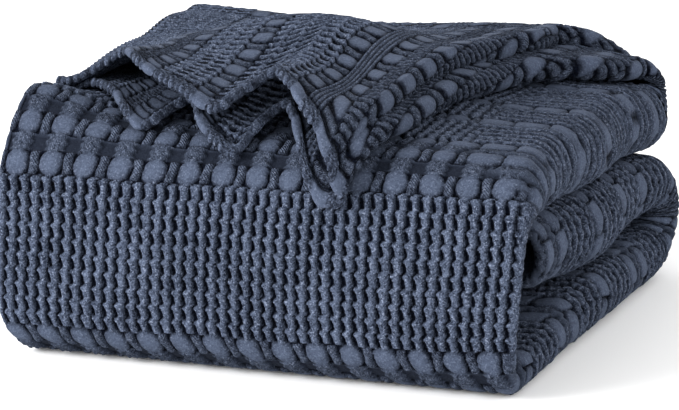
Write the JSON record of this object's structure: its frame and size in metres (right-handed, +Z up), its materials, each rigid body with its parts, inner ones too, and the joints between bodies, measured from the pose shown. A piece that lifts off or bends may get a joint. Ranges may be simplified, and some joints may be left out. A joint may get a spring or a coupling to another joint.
{
  "type": "waffle weave cotton throw blanket",
  "caption": "Slate blue waffle weave cotton throw, folded into a block with soft rolls at its right side and a turned-over end with ruffled hems on top",
  "frame": {"origin": "middle of the folded blanket's underside, at the centre of its box", "axes": "+Z up from the surface it rests on, +Y from the front face with the ruffled hems towards the back folds, +X towards the side with the rolls"},
  "size_m": [0.3736, 0.3901, 0.2044],
  "materials": {
    "cotton": "matte, coarse waffle weave"
  },
  "bodies": {
    "root": {"blanket": "cotton"}
  },
  "joints": []
}
